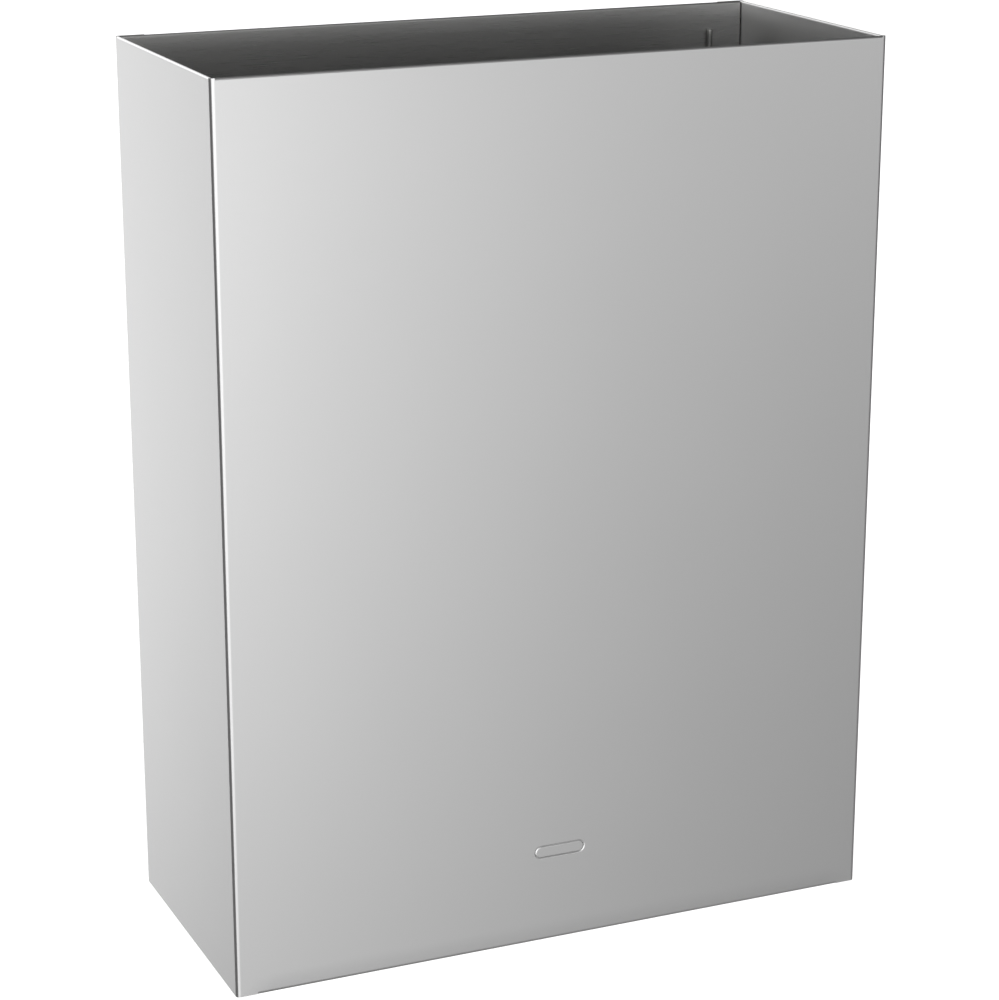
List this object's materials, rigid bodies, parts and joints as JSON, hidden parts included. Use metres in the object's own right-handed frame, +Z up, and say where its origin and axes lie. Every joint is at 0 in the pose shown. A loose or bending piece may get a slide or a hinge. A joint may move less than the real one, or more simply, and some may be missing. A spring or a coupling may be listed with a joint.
{
  "type": "waste bin",
  "caption": "Wall-mounted, open-topped rectangular waste bin in satin stainless sheet, with rolled rims and a hinged wire ring inside that holds the bag.",
  "frame": {"origin": "middle of the base, on the surface that the bin stands on", "axes": "+Z up, -Y is the front panel's outward side, +Y faces the wall, +X is to the right as seen from the front"},
  "size_m": [0.35, 0.152, 0.455],
  "materials": {
    "satin_stainless": "satin, fine brushed grain along the width of each face",
    "satin_stainless_inside": "mill finish, a little duller than the outside",
    "bright_wire": "drawn wire, smooth",
    "sleeve_rubber": "matt black rubber"
  },
  "bodies": {
    "bin": {"outer_shell": "satin_stainless", "rear_panel": "satin_stainless_inside", "base_pan": "satin_stainless_inside", "left_hanger": "bright_wire", "right_hanger": "bright_wire", "left_ring_rest": "satin_stainless_inside", "right_ring_rest": "satin_stainless_inside"},
    "bag_frame": {"bag_ring": "bright_wire", "left_ring_sleeve": "sleeve_rubber", "right_ring_sleeve": "sleeve_rubber"}
  },
  "joints": [
    {"name": "ring_hinge", "type": "hinge", "parent": "bin", "child": "bag_frame", "pos_m": [0, 0.06789, 0.413], "axis": [-1, 0, 0], "range_deg": [0, 93.5]}
  ]
}
